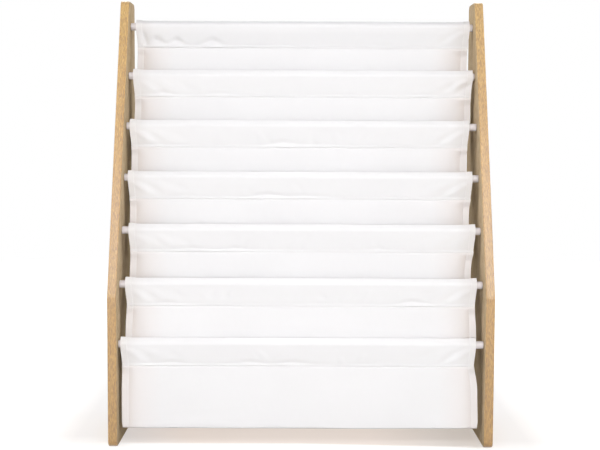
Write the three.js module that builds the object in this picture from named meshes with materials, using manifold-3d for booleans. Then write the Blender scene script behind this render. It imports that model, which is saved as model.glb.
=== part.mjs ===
// Sling bookshelf for a child's room: two slanted side panels, seven tubes bolted between them, and a cloth
// sling sewn round the tubes so that it hangs in six pockets.
// Millimetres. +Z is up, the front faces -Y, and the origin is on the floor under the middle of the shelf.

import * as THREE from "three";
import { mergeVertices } from "three/addons/utils/BufferGeometryUtils.js";
import Module from "manifold-3d";

const wasm = await Module();
wasm.setup();

// Clearance between two pieces that touch, and how far a cut runs past the face that it opens.
const fitGap = 0.3;
const cutOverrun = 1;

// Side panels: upright at the front up to the kink, then slanted back to a narrow flat top.
const panelSpread = 630;
const panelThickness = 15;
const panelHeight = 742;
const panelDepth = 248;
const panelTopDepth = 68;
const panelKinkHeight = 248;
const panelCornerRadius = 10;
const panelKinkRadius = 14;
const panelEdgeRadius = 1.5;

// Tubes: a row along the slant, at an even pitch from below the panels' top to above the kink, and one more
// tube in front of the row's lowest one and below it.
const slantedTubes = 6;
const tubeDiameter = 13;
const tubeWall = 1.2;
const tubeTopDrop = 43;
const tubeKinkRise = 16;
const tubeSetback = 35.5;
const lowTubeStep = 19.5;

// Threaded inserts in the tubes' ends.
const insertLength = 20;
const insertWall = 1.7;
const insertChamfer = 0.6;

// Bolts: a flat head let flush into the panel's outer face, and a shank as thick as the insert takes.
const boltLength = 30;
const boltHeadDiameter = 14;
const boltHeadHeight = 2.6;
const boltHeadChamfer = 0.6;
const boltTipChamfer = 0.8;
const boltSocketWidth = 4;
const boltSocketDepth = 2;

// Cloth: the room on each side of it, the seam below each tube, the pressed crest of each sleeve above its
// tube, and how far a pocket hangs below the tube in front of it. The lowest tube is as high as its pocket
// needs to clear the floor.
const clothSideGap = 8.8;
const clothThickness = 1;
const seamDrop = 33;
const seamAllowance = 3;
const crestRise = 2;
const crestRadius = 1.5;
const pocketDrop = 140;
const pocketFoldRadius = 5;
const pocketFloorGap = 27.5;

// Folds in the cloth.
const sideDrawIn = 3;
const hemWidth = 11;
const hemSetback = 4;
const layerSpread = 2.4;
const layerSpreadDepth = 60;
const waveHeight = 1.2;
const waveLength = 230;
const foldSag = 2;
const creaseHeight = 1.8;
const creaseWidth = 17;
const creaseStart = 12;
const creaseRun = 62;
const creaseSpacing = 58;

// How far each sleeve has slid sideways from the middle, as shares of the room between the cloth and the
// panels, from the top tube down.
const sleeveSlideShares = [0.15, 0.44, -0.37, -0.21, 0.22, 0, -0.51];
// Where the long wave in the cloth starts below each tube, as shares of its length.
const waveStartShares = [0.1, 0.45, 0.8, 0.25, 0.6, 0.9, 0.35];

// Sides and steps of the faceted forms.
const cornerSegments = 3;
const edgeSegments = 2;
const tubeSides = 20;
const fastenerSides = 12;
const socketSides = 6;
const sleeveArcSegments = 1;
const sleeveSideSteps = 2;
const sleeveSteps = 10;
const pocketArcSegments = 1;
const pocketFoldSteps = 2;
const backLayerSteps = 3;
const frontLayerSteps = 2;
const pocketSteps = 12;

// Sizes that follow from those above.
const panelInnerX = panelSpread / 2 - panelThickness;
const frontY = -panelDepth / 2;
const backY = panelDepth / 2;
const topFrontY = backY - panelTopDepth;
const slant = (topFrontY - frontY) / (panelHeight - panelKinkHeight);
const tubeRadius = tubeDiameter / 2;
const tubeBoreRadius = tubeRadius - tubeWall;
const tubeLength = 2 * (panelInnerX - fitGap);
const insertRadius = tubeBoreRadius - fitGap;
const boltHoleRadius = insertRadius - insertWall;
const boltRadius = boltHoleRadius - fitGap;
const headPocketRadius = boltHeadDiameter / 2 + fitGap;
const headPocketDepth = boltHeadHeight + fitGap;
const sleeveInnerRadius = tubeRadius + fitGap;
const crestCentreZ = sleeveInnerRadius + crestRise - crestRadius;
const seamHalfThickness = clothThickness + fitGap / 2;
const layerOffset = (clothThickness + fitGap) / 2;
const clothHalfWidth = panelInnerX - clothSideGap;

// The tubes' axes, from the top one down.
const tubePitch = (panelHeight - tubeTopDrop - panelKinkHeight - tubeKinkRise) / (slantedTubes - 1);
const tubePlaces = [];
for (let i = 0; i < slantedTubes; i++) {
  const z = panelHeight - tubeTopDrop - i * tubePitch;
  tubePlaces.push({ y: frontY + (z - panelKinkHeight) * slant + tubeSetback, z });
}
tubePlaces.push({
  y: tubePlaces[slantedTubes - 1].y - lowTubeStep,
  z: pocketFloorGap + pocketDrop,
});

// Finishes.
const finishes = {
  oakBoard: { color: 0xdcb98a, roughness: 0.55, metalness: 0 },
  whiteSteel: { color: 0xe4e2e8, roughness: 0.3, metalness: 0.1 },
  zincSteel: { color: 0xb9bbbd, roughness: 0.35, metalness: 0.9 },
  cloth: { color: 0xf6f4f4, roughness: 0.9, metalness: 0 },
};

const shelf = new THREE.Group();

function addPiece(name, geometry, finish) {
  const mesh = new THREE.Mesh(geometry, new THREE.MeshStandardMaterial(finishes[finish]));
  mesh.name = name;
  shelf.add(mesh);
  return mesh;
}

// Joins and cuts work on solids, and a mesh is turned into one and back.
function solidOf(geometry) {
  const bare = geometry.clone();
  bare.deleteAttribute("normal");
  bare.deleteAttribute("uv");
  const merged = mergeVertices(bare);
  return new wasm.Manifold(
    new wasm.Mesh({
      numProp: 3,
      vertProperties: merged.attributes.position.array,
      triVerts: new Uint32Array(merged.index.array),
    }),
  );
}

function geometryOf(solid) {
  const mesh = solid.getMesh();
  const geometry = new THREE.BufferGeometry();
  geometry.setAttribute("position", new THREE.BufferAttribute(mesh.vertProperties, 3));
  geometry.setIndex(new THREE.BufferAttribute(mesh.triVerts, 1));
  geometry.computeVertexNormals();
  return geometry;
}

// An outline drawn in (y, z), given its thickness along X.
function acrossX(geometry) {
  const y = new THREE.Vector3(0, 1, 0);
  const z = new THREE.Vector3(0, 0, 1);
  const x = new THREE.Vector3(1, 0, 0);
  return geometry.applyMatrix4(new THREE.Matrix4().makeBasis(y, z, x));
}

// A round piece turned about the X axis. Its profile is a list of [distance along X, radius].
function turned(profile, sides) {
  const points = profile.map(([along, radius]) => new THREE.Vector2(radius, along));
  return new THREE.LatheGeometry(points, sides).rotateZ(-Math.PI / 2);
}

// A closed outline whose corners, listed anticlockwise, are rounded by arcs.
function roundedOutline(corners) {
  const outline = new THREE.Shape();
  corners.forEach(({ y, z, radius }, i) => {
    const corner = new THREE.Vector2(y, z);
    const last = corners[(i + corners.length - 1) % corners.length];
    const next = corners[(i + 1) % corners.length];
    const back = new THREE.Vector2(last.y, last.z).sub(corner).normalize();
    const ahead = new THREE.Vector2(next.y, next.z).sub(corner).normalize();
    const halfAngle = Math.acos(back.dot(ahead)) / 2;
    const centre = back.clone().add(ahead).normalize();
    centre.multiplyScalar(radius / Math.sin(halfAngle)).add(corner);
    const startAngle = Math.atan2(-back.x, back.y) + Math.PI;
    const endAngle = Math.atan2(ahead.x, -ahead.y) + Math.PI;
    outline.absarc(centre.x, centre.y, radius, startAngle, endAngle, false);
  });
  outline.closePath();
  return outline;
}

// Side panels
function sidePanel() {
  const outline = roundedOutline([
    { y: frontY, z: 0, radius: panelCornerRadius },
    { y: backY, z: 0, radius: panelCornerRadius },
    { y: backY, z: panelHeight, radius: panelCornerRadius },
    { y: topFrontY, z: panelHeight, radius: panelCornerRadius },
    { y: frontY, z: panelKinkHeight, radius: panelKinkRadius },
  ]);
  const board = new THREE.ExtrudeGeometry(outline, {
    depth: panelThickness - 2 * panelEdgeRadius,
    curveSegments: cornerSegments,
    bevelThickness: panelEdgeRadius,
    bevelSize: panelEdgeRadius,
    bevelOffset: -panelEdgeRadius,
    bevelSegments: edgeSegments,
  });
  acrossX(board.translate(0, 0, panelEdgeRadius));
  let solid = solidOf(board);
  const hole = turned(
    [
      [-cutOverrun, 0],
      [-cutOverrun, headPocketRadius],
      [headPocketDepth, headPocketRadius],
      [headPocketDepth, boltHoleRadius],
      [panelThickness + cutOverrun, boltHoleRadius],
      [panelThickness + cutOverrun, 0],
    ],
    fastenerSides,
  );
  for (const { y, z } of tubePlaces) {
    solid = solid.subtract(solidOf(hole.clone().translate(0, y, z)));
  }
  return geometryOf(solid);
}

// The left panel lies from x = 0 inwards, and the right one is its mirror image.
const panelGeometry = sidePanel();
addPiece("side_panel_left", panelGeometry, "oakBoard").position.x = -panelSpread / 2;
const rightPanel = addPiece("side_panel_right", panelGeometry, "oakBoard");
rightPanel.position.x = panelSpread / 2;
rightPanel.scale.x = -1;

// Tubes
const tubeGeometry = turned(
  [
    [-tubeLength / 2, tubeBoreRadius],
    [-tubeLength / 2, tubeRadius],
    [tubeLength / 2, tubeRadius],
    [tubeLength / 2, tubeBoreRadius],
    [-tubeLength / 2, tubeBoreRadius],
  ],
  tubeSides,
);

// Inserts, from the tube's end inwards
const insertBevel = Math.min(insertChamfer, insertWall / 2);
const insertGeometry = turned(
  [
    [0, boltHoleRadius],
    [0, insertRadius - insertBevel],
    [insertBevel, insertRadius],
    [insertLength, insertRadius],
    [insertLength, boltHoleRadius],
    [0, boltHoleRadius],
  ],
  fastenerSides,
);

// Bolts, from the head's outer face inwards, with a six-sided socket in the head
function bolt() {
  const headRadius = boltHeadDiameter / 2;
  const headBevel = Math.min(boltHeadChamfer, boltHeadHeight / 2);
  const tip = boltHeadHeight + boltLength;
  const tipBevel = Math.min(boltTipChamfer, boltRadius / 2);
  const body = turned(
    [
      [0, 0],
      [0, headRadius - headBevel],
      [headBevel, headRadius],
      [boltHeadHeight, headRadius],
      [boltHeadHeight, boltRadius],
      [tip - tipBevel, boltRadius],
      [tip, boltRadius - tipBevel],
      [tip, 0],
    ],
    fastenerSides,
  );
  const socketRadius = boltSocketWidth / 2 / Math.cos(Math.PI / socketSides);
  const socket = turned(
    [
      [-cutOverrun, 0],
      [-cutOverrun, socketRadius],
      [boltSocketDepth, socketRadius],
      [boltSocketDepth, 0],
    ],
    socketSides,
  );
  return geometryOf(solidOf(body).subtract(solidOf(socket)));
}
const boltGeometry = bolt();

tubePlaces.forEach(({ y, z }, i) => {
  const number = i + 1;
  addPiece(`rod_${number}`, tubeGeometry, "whiteSteel").position.set(0, y, z);
  for (const [side, sign] of [["left", -1], ["right", 1]]) {
    const insert = addPiece(`rod_insert_${number}_${side}`, insertGeometry, "zincSteel");
    insert.position.set((sign * tubeLength) / 2, y, z);
    const screw = addPiece(`bolt_${number}_${side}`, boltGeometry, "zincSteel");
    screw.position.set((sign * panelSpread) / 2, y, z);
    for (const fastener of [insert, screw]) {
      fastener.rotation.z = sign > 0 ? Math.PI : 0;
    }
  }
});

// Cloth. A place on it is given by its share across, from -1 at the left edge to 1 at the right one, and by
// its depth below the tube that it hangs from.
function eased(value) {
  const t = THREE.MathUtils.clamp(value, 0, 1);
  return t * t * (3 - 2 * t);
}

function hump(distance, width) {
  return Math.exp(-((distance / width) ** 2));
}

// The share that belongs to a tube, from a list that starts again where the tubes outnumber it.
function shareAt(shares, tube) {
  return shares[tube % shares.length];
}

function distanceFromHem(share) {
  return (1 - Math.abs(share)) * clothHalfWidth;
}

// The cloth's x: slid sideways with its sleeve, and drawn in at the seam.
function clothX(share, depth, slideShare) {
  const halfWidth = clothHalfWidth - sideDrawIn * eased(depth / seamDrop);
  return slideShare * clothSideGap + share * halfWidth;
}

// How far back the hanging cloth lies: its hems lie behind the cloth between them, and it has one long wave.
function hangingFold(share, depth, tube) {
  const below = eased((depth - seamDrop) / layerSpreadDepth);
  const setback = hemSetback * hump(distanceFromHem(share), hemWidth);
  const turn = (share * clothHalfWidth) / waveLength + shareAt(waveStartShares, tube);
  return below * (setback + waveHeight * Math.sin(2 * Math.PI * turn));
}

// How far a sleeve's flat sides are pushed out by the creases that drag from its upper corners to the seam.
function dragCrease(share, depth) {
  const fromEdge = distanceFromHem(share);
  const run = (depth / seamDrop) * creaseRun + creaseStart;
  const fade = Math.sin(Math.PI * THREE.MathUtils.clamp(depth / seamDrop, 0, 1));
  const near = hump(fromEdge - run, creaseWidth);
  const far = hump(fromEdge - run - creaseSpacing, creaseWidth);
  return creaseHeight * fade * (near + far / 2);
}

// A section drawn in (y, z) is swept across the cloth with its steps closer together near the hems. Each of
// its points is then placed by fold(share, y, z), which gives the new x, y and z.
function sweptCloth(section, steps, arcSegments, fold) {
  const geometry = new THREE.ExtrudeGeometry(section, {
    depth: 1,
    steps,
    curveSegments: arcSegments,
    bevelEnabled: false,
  });
  acrossX(geometry);
  const points = geometry.attributes.position;
  for (let i = 0; i < points.count; i++) {
    const share = Math.sin((points.getX(i) - 1 / 2) * Math.PI);
    const [x, y, z] = fold(share, points.getY(i), points.getZ(i));
    points.setXYZ(i, x, y, z);
  }
  geometry.computeVertexNormals();
  return geometry;
}

// A straight stretch of an outline in equal steps, so that it can bend.
function lineInSteps(outline, y, z, steps) {
  const from = outline.currentPoint.clone();
  for (let i = 1; i <= steps; i++) {
    outline.lineTo(from.x + ((y - from.x) * i) / steps, from.y + ((z - from.y) * i) / steps);
  }
}

// The angle at which a line from (y, z) touches a circle about the tube's axis, on the line's outer side.
function touchAngle(y, z, radius) {
  return Math.atan2(z, y) + Math.acos(radius / Math.hypot(y, z));
}

// One closed loop round a tube: over the crest, down both sides and together at the seam. The outer loop lies
// a cloth's thickness outside the inner one.
function loopOutline(outline, halfThickness, bottom, thickness) {
  const radius = sleeveInnerRadius + thickness;
  const start = touchAngle(halfThickness, -seamDrop, radius);
  const shoulder = Math.asin((sleeveInnerRadius - crestRadius) / crestCentreZ);
  const touchY = radius * Math.cos(start);
  const touchZ = radius * Math.sin(start);
  outline.moveTo(halfThickness, bottom);
  if (bottom < -seamDrop) {
    outline.lineTo(halfThickness, -seamDrop);
  }
  lineInSteps(outline, touchY, touchZ, sleeveSideSteps);
  outline.absarc(0, 0, radius, start, shoulder, false);
  outline.absarc(0, crestCentreZ, crestRadius + thickness, shoulder, Math.PI - shoulder, false);
  outline.absarc(0, 0, radius, Math.PI - shoulder, Math.PI - start, false);
  lineInSteps(outline, -halfThickness, -seamDrop, sleeveSideSteps);
  if (bottom < -seamDrop) {
    outline.lineTo(-halfThickness, bottom);
  }
  outline.closePath();
}

function sleeveSection() {
  const section = new THREE.Shape();
  loopOutline(section, seamHalfThickness, -seamDrop - seamAllowance, clothThickness);
  const hole = new THREE.Path();
  loopOutline(hole, 0, -seamDrop, 0);
  section.holes.push(hole);
  return section;
}

// A pocket between an upper back tube and a lower front tube: down, round the fold and up again.
function pocketSection(back, front) {
  const top = -seamDrop - seamAllowance - fitGap;
  const bottom = front.z - pocketDrop;
  const backOuterY = back.y - layerOffset + clothThickness / 2;
  const frontOuterY = front.y + layerOffset - clothThickness / 2;
  const outerRadius = Math.min(pocketFoldRadius, (backOuterY - frontOuterY) / 3);
  const innerRadius = outerRadius - clothThickness;
  const backCentreY = backOuterY - outerRadius;
  const frontCentreY = frontOuterY + outerRadius;
  const centreZ = bottom + outerRadius;
  const quarter = Math.PI / 2;
  const section = new THREE.Shape();
  section.moveTo(backOuterY - clothThickness, back.z + top);
  lineInSteps(section, backOuterY - clothThickness, centreZ, backLayerSteps);
  section.absarc(backCentreY, centreZ, innerRadius, 0, -quarter, true);
  lineInSteps(section, frontCentreY, bottom + clothThickness, pocketFoldSteps);
  section.absarc(frontCentreY, centreZ, innerRadius, -quarter, -2 * quarter, true);
  lineInSteps(section, frontOuterY + clothThickness, front.z + top, frontLayerSteps);
  section.lineTo(frontOuterY, front.z + top);
  lineInSteps(section, frontOuterY, centreZ, frontLayerSteps);
  section.absarc(frontCentreY, centreZ, outerRadius, -2 * quarter, -quarter, false);
  lineInSteps(section, backCentreY, bottom, pocketFoldSteps);
  section.absarc(backCentreY, centreZ, outerRadius, -quarter, 0, false);
  lineInSteps(section, backOuterY, back.z + top, backLayerSteps);
  section.closePath();
  return section;
}

// Sleeves
tubePlaces.forEach((tube, i) => {
  const slide = shareAt(sleeveSlideShares, i);
  const fold = (share, y, z) => {
    const crease = Math.sign(y) * dragCrease(share, -z);
    return [clothX(share, -z, slide), tube.y + y + crease, tube.z + z];
  };
  const geometry = sweptCloth(sleeveSection(), sleeveSteps, sleeveArcSegments, fold);
  addPiece(`rod_sleeve_${i + 1}`, geometry, "cloth");
});

// Pockets
tubePlaces.slice(1).forEach((front, i) => {
  const back = tubePlaces[i];
  const bottom = front.z - pocketDrop;
  const frontFaceY = front.y + layerOffset;
  const span = back.y - layerOffset - frontFaceY;
  const frontSlide = shareAt(sleeveSlideShares, i + 1);
  const backSlide = shareAt(sleeveSlideShares, i);
  const fold = (share, y, z) => {
    const towardsBack = THREE.MathUtils.clamp((y - frontFaceY) / span, 0, 1);
    const slide = THREE.MathUtils.lerp(frontSlide, backSlide, towardsBack);
    const frontFold = hangingFold(share, front.z - z, i + 1);
    const backFold = hangingFold(share, back.z - z, i);
    const spread = (depth) => layerSpread * eased((depth - seamDrop) / layerSpreadDepth);
    const frontPull = spread(front.z - z);
    const backPull = -spread(back.z - z);
    const moved = THREE.MathUtils.lerp(frontFold + frontPull, backFold + backPull, towardsBack);
    const low = 1 - eased((z - bottom) / pocketFoldRadius);
    const sag = foldSag * low * Math.sin(Math.PI * towardsBack);
    return [clothX(share, seamDrop, slide), y + moved, z - sag];
  };
  const geometry = sweptCloth(pocketSection(back, front), pocketSteps, pocketArcSegments, fold);
  addPiece(`sling_pocket_${i + 1}`, geometry, "cloth");
});

export default shelf;
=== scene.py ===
"""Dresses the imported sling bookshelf: oak-look boards, coated tubes, zinc screws and a sewn canvas sling.

Metres throughout. +Z is up, the front faces -Y, and the shelf stands on the floor at the origin.
"""

import math
import random

import bmesh
import bpy
from bpy.props import FloatProperty, FloatVectorProperty, IntProperty, PointerProperty
from mathutils import Matrix, Vector, noise


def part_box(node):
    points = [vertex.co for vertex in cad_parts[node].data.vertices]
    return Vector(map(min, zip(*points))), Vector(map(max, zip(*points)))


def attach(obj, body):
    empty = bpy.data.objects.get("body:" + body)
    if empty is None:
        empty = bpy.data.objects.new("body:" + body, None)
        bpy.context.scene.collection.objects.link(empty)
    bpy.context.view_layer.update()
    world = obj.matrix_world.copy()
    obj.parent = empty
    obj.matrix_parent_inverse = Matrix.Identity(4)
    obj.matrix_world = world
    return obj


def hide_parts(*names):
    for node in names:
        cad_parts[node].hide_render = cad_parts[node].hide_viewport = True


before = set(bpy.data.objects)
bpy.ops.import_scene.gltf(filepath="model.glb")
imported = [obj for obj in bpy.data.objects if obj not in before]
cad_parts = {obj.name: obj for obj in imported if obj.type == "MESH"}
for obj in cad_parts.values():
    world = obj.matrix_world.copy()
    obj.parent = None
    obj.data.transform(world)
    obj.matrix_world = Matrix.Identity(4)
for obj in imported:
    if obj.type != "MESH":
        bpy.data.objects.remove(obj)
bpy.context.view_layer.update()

bl_info = {
    "name": "Sling bookshelf",
    "version": (1, 0, 0),
    "blender": (4, 5, 0),
    "location": "3D View > Sidebar > Bookshelf",
    "description": "Dresses a child's sling bookshelf in oak-look board, coated steel and sewn canvas",
    "category": "Object",
}

MM = 0.001
SIDES = {"left": -1, "right": 1}
TUBES = range(1, 8)
POCKETS = range(1, 7)


# Places that the model gives

def middle_of(node):
    low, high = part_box(node)
    return (low + high) / 2


# Each tube's axis, as (y, z), and how far the sleeve on it has slid to one side.
TUBE_AXIS = {tube: tuple(middle_of(f"rod_{tube}").yz) for tube in TUBES}
CLOTH_CENTRE = {tube: middle_of(f"rod_sleeve_{tube}").x for tube in TUBES}
TUBE_RADIUS = (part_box("rod_1")[1].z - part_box("rod_1")[0].z) / 2
CLOTH_HALF_WIDTH = (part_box("rod_sleeve_1")[1].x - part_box("rod_sleeve_1")[0].x) / 2


# What a user may change

class ShelfCloth(bpy.types.PropertyGroup):
    colour: FloatVectorProperty(
        name="Colour", description="Colour of the bleached canvas", subtype="COLOR",
        size=3, min=0, max=1, default=(0.865, 0.857, 0.868))
    # Painted shade beside the hems, where the panels keep light off, with the warm light they throw back
    pocket_hem_shade: FloatVectorProperty(
        name="Pocket hem colour", description="Colour of the pockets beside their hems", subtype="COLOR",
        size=3, min=0, max=1, default=(0.86, 0.82, 0.815))
    sleeve_hem_shade: FloatVectorProperty(
        name="Sleeve hem colour", description="Colour of the sleeves beside their hems", subtype="COLOR",
        size=3, min=0, max=1, default=(0.82, 0.802, 0.806))
    # Painted shade: the colour that darkens the top sleeve's upper fold, and a little of the top sleeve
    shade: FloatVectorProperty(
        name="Painted shade", description="Colour of the top sleeve's fold, where dust settles", subtype="COLOR",
        size=3, min=0, max=1, default=(0.705, 0.70, 0.715))
    thickness: FloatProperty(
        name="Thickness", description="Thickness of one layer of the canvas",
        default=0.75 * MM, unit="LENGTH")
    thread: FloatProperty(
        name="Thread pitch", description="Distance from one thread of the weave to the next",
        default=0.9 * MM, unit="LENGTH")
    hem_width: FloatProperty(
        name="Hem width", description="Width of the turned and stitched side hems",
        default=11 * MM, unit="LENGTH")
    hem_setback: FloatProperty(
        name="Hem setback", description="How far the hems of the hanging cloth lie behind its middle",
        default=5.2 * MM, unit="LENGTH")
    hem_slope: FloatProperty(
        name="Hem slope", description="Width in which most of the hem's setback is made up",
        default=11 * MM, unit="LENGTH")
    seam_drop: FloatProperty(
        name="Seam drop", description="Height from a tube's axis down to its sleeve's lower edge",
        default=36 * MM, unit="LENGTH")
    seam_ridge: FloatProperty(
        name="Seam ridge", description="How far a sleeve's lower edge stands out over its stitching",
        default=1.4 * MM, unit="LENGTH")
    ridge_height: FloatProperty(
        name="Ridge height", description="Height over a seam of the ridge that its turned edge makes",
        default=3.5 * MM, unit="LENGTH")
    crest: FloatProperty(
        name="Crest", description="Height of a sleeve's pressed upper fold over its tube",
        default=3 * MM, unit="LENGTH")
    draw_in: FloatProperty(
        name="Draw in", description="How much narrower each side is at the seam than at the tube",
        default=2.4 * MM, unit="LENGTH")
    crease: FloatProperty(
        name="Crease", description="Height of the creases that drag from a sleeve's upper corners",
        default=2.6 * MM, unit="LENGTH")
    wave: FloatProperty(
        name="Wave", description="Height of the long waves in the hanging cloth",
        default=1.2 * MM, unit="LENGTH")
    fold_radius: FloatProperty(
        name="Fold radius", description="Radius of the fold along the bottom of a pocket",
        default=2.4 * MM, unit="LENGTH")


class ShelfBoard(bpy.types.PropertyGroup):
    edge_pale: FloatVectorProperty(
        name="Pale edge grain", description="Lighter colour of the grain on narrow edges", subtype="COLOR",
        size=3, min=0, max=1, default=(0.53, 0.30, 0.07))
    edge_dark: FloatVectorProperty(
        name="Dark edge grain", description="Darker colour of the grain on narrow edges", subtype="COLOR",
        size=3, min=0, max=1, default=(0.37, 0.185, 0.03))
    face_pale: FloatVectorProperty(
        name="Pale face grain", description="Lighter colour of the grain on wide faces", subtype="COLOR",
        size=3, min=0, max=1, default=(0.60, 0.475, 0.325))
    face_dark: FloatVectorProperty(
        name="Dark face grain", description="Darker colour of the grain on wide faces", subtype="COLOR",
        size=3, min=0, max=1, default=(0.42, 0.32, 0.195))
    pore: FloatVectorProperty(
        name="Pores", description="Colour of the short dark pores", subtype="COLOR",
        size=3, min=0, max=1, default=(0.28, 0.135, 0.035))
    # Painted light on the edge band: paler at the top and darker at the floor
    painted_light: FloatProperty(
        name="Painted light", description="How much paler the edge band is at the top, and darker at the floor",
        default=0.12, min=0, max=1)
    # Painted light near the top of the edge bands, unlike on the left and the right board
    left_light_tint: FloatVectorProperty(
        name="Left tint", description="Tint of the left edge band near the top",
        size=3, min=0, max=2, default=(1.12, 1.25, 1.6))
    right_light_tint: FloatVectorProperty(
        name="Right tint", description="Tint of the right edge band near the top",
        size=3, min=0, max=2, default=(0.97, 1.06, 1.33))
    fibre: FloatProperty(
        name="Fibre width", description="Width of one fibre of the grain",
        default=2.2 * MM, unit="LENGTH")


class ShelfMetal(bpy.types.PropertyGroup):
    coat: FloatVectorProperty(
        name="Coat", description="Colour of the tubes' powder coat", subtype="COLOR",
        size=3, min=0, max=1, default=(0.70, 0.66, 0.68))
    zinc: FloatVectorProperty(
        name="Zinc", description="Colour of the screws' plating", subtype="COLOR",
        size=3, min=0, max=1, default=(0.60, 0.61, 0.62))
    sides: IntProperty(
        name="Sides", description="Steps round a tube or a screw", default=48, min=12, max=96)


class ShelfStudio(bpy.types.PropertyGroup):
    camera_place: FloatVectorProperty(
        name="Camera", description="Where the camera stands", subtype="TRANSLATION", unit="LENGTH",
        size=3, default=(-8.775 * MM, -2066.88 * MM, 514.43 * MM))
    focal_length: FloatProperty(
        name="Focal length", description="The lens, in millimetres on a 36 mm sensor", default=72.44)
    yaw: FloatProperty(
        name="Yaw", description="Turn of the camera to the right", default=0.003278, subtype="ANGLE")
    pitch: FloatProperty(
        name="Pitch", description="Tilt of the camera towards the floor",
        default=0.0761807, subtype="ANGLE")
    roll: FloatProperty(
        name="Roll", description="Turn of the camera about its own line of sight",
        default=-0.0041782, subtype="ANGLE")
    key: FloatProperty(
        name="Key lamp", description="Power of the lamp above the front", default=20, subtype="POWER")
    fill: FloatProperty(
        name="Fill lamp", description="Power of the low lamp in front", default=24, subtype="POWER")
    side: FloatProperty(
        name="Side lamps", description="Power of the lamp on each side", default=34, subtype="POWER")
    front: FloatProperty(
        name="Front side lamps", description="Power of the lamp at each side of the front",
        default=7, subtype="POWER")
    back: FloatProperty(
        name="Back lamp", description="Power of the lamp behind", default=20, subtype="POWER")
    sky: FloatProperty(name="Sky", description="Strength of the even light from all round", default=0.34)


# Materials

def new_material(name):
    """A new node material, and its principled shader."""
    material = bpy.data.materials.new(name)
    material.use_nodes = True
    nodes = material.node_tree.nodes
    return material, nodes["Principled BSDF"]


def set_numbers(shader, numbers):
    for name, value in numbers.items():
        shader.inputs[name].default_value = value


class Nodes:
    """Adds nodes to one tree and links them in the same call."""

    def __init__(self, tree):
        self.tree = tree

    def add(self, kind, inputs=None, **settings):
        node = self.tree.nodes.new(kind)
        for name, value in settings.items():
            setattr(node, name, value)
        for key, value in (inputs or {}).items():
            self.put(node.inputs[key], value)
        return node

    def put(self, socket, value):
        if isinstance(value, bpy.types.NodeSocket):
            self.tree.links.new(value, socket)
        else:
            socket.default_value = value

    def math(self, operation, *values):
        return self.add("ShaderNodeMath", dict(enumerate(values)), operation=operation).outputs[0]

    def mix(self, factor, first, second, blend="MIX"):
        node = self.add("ShaderNodeMix", data_type="RGBA", blend_type=blend)
        for socket, value in ((node.inputs[0], factor), (node.inputs[6], first), (node.inputs[7], second)):
            self.put(socket, value if not isinstance(value, tuple) or len(value) == 4 else (*value, 1))
        return node.outputs[2]

    def noise(self, vector, scale, detail=2.0, roughness=0.5):
        return self.add("ShaderNodeTexNoise", {
            "Vector": vector, "Scale": scale, "Detail": detail, "Roughness": roughness}).outputs["Fac"]

    def span(self, value, low, high, to_low=0.0, to_high=1.0):
        """The value stretched from one range to another, and held within it."""
        return self.add("ShaderNodeMapRange", {
            0: value, 1: low, 2: high, 3: to_low, 4: to_high}, clamp=True).outputs[0]

    def stretched(self, vector, scale):
        return self.add("ShaderNodeMapping", {"Vector": vector, "Scale": scale}).outputs[0]

    def object_place(self):
        return self.add("ShaderNodeTexCoord").outputs["Object"]

    def split(self, vector):
        return self.add("ShaderNodeSeparateXYZ", {0: vector}).outputs

    def grey(self, value):
        return self.add("ShaderNodeCombineColor", {0: value, 1: value, 2: value}).outputs[0]


def new_group(name, inputs, outputs):
    """A node group with sockets given as (name, kind, default). Returns it, its nodes and its two ends."""
    group = bpy.data.node_groups.new(name, "ShaderNodeTree")
    for socket_name, kind, default in inputs:
        socket = group.interface.new_socket(socket_name, in_out="INPUT", socket_type=kind)
        if default is not None:
            socket.default_value = default
    for socket_name, kind in outputs:
        group.interface.new_socket(socket_name, in_out="OUTPUT", socket_type=kind)
    n = Nodes(group)
    return group, n, n.add("NodeGroupInput").outputs, n.add("NodeGroupOutput").inputs


def handling_group():
    """Slow, faint changes of tone and gloss, such as handling and light soiling leave on any finish."""
    group, n, given, out = new_group(
        "Handling",
        [("Colour", "NodeSocketColor", (0.8, 0.8, 0.8, 1)), ("Depth", "NodeSocketFloat", 0.06),
         ("Patch size", "NodeSocketFloat", 0.08), ("Roughness", "NodeSocketFloat", 0.5)],
        [("Colour", "NodeSocketColor"), ("Roughness", "NodeSocketFloat")])
    scale = n.math("DIVIDE", 1.0, given["Patch size"])
    patches = n.math("SUBTRACT", n.noise(n.object_place(), scale, 3.0, 0.55), 0.5)
    tone = n.math("MULTIPLY_ADD", patches, given["Depth"], 1.0)
    n.put(out["Colour"], n.mix(1.0, given["Colour"], n.grey(tone), "MULTIPLY"))
    gloss_change = 0.12
    n.put(out["Roughness"], n.math("MULTIPLY_ADD", patches, gloss_change, given["Roughness"]))
    return group


def weave_group():
    """A plain weave of two sets of threads. Its height is 0 between threads and 1 on top of one."""
    group, n, given, out = new_group(
        "Plain weave", [("Place", "NodeSocketVector", None), ("Thread", "NodeSocketFloat", 0.001)],
        [("Height", "NodeSocketFloat")])
    split = n.split(given["Place"])
    across = n.math("DIVIDE", split[0], given["Thread"])
    along = n.math("DIVIDE", split[1], given["Thread"])
    warp = n.math("ABSOLUTE", n.math("SINE", n.math("MULTIPLY", across, math.pi)))
    weft = n.math("ABSOLUTE", n.math("SINE", n.math("MULTIPLY", along, math.pi)))
    crossing = n.math("ADD", n.math("FLOOR", across), n.math("FLOOR", along))
    over = n.math("PINGPONG", crossing, 1.0)
    top = n.math("MULTIPLY", warp, over)
    under = n.math("MULTIPLY", weft, n.math("SUBTRACT", 1.0, over))
    n.put(out["Height"], n.math("ADD", top, under))
    return group


def place_group(n, group, inputs):
    node = n.add("ShaderNodeGroup", node_tree=group)
    for key, value in inputs.items():
        n.put(node.inputs[key], value)
    return node.outputs


def shared_group(name, make):
    return bpy.data.node_groups.get(name) or make()


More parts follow.
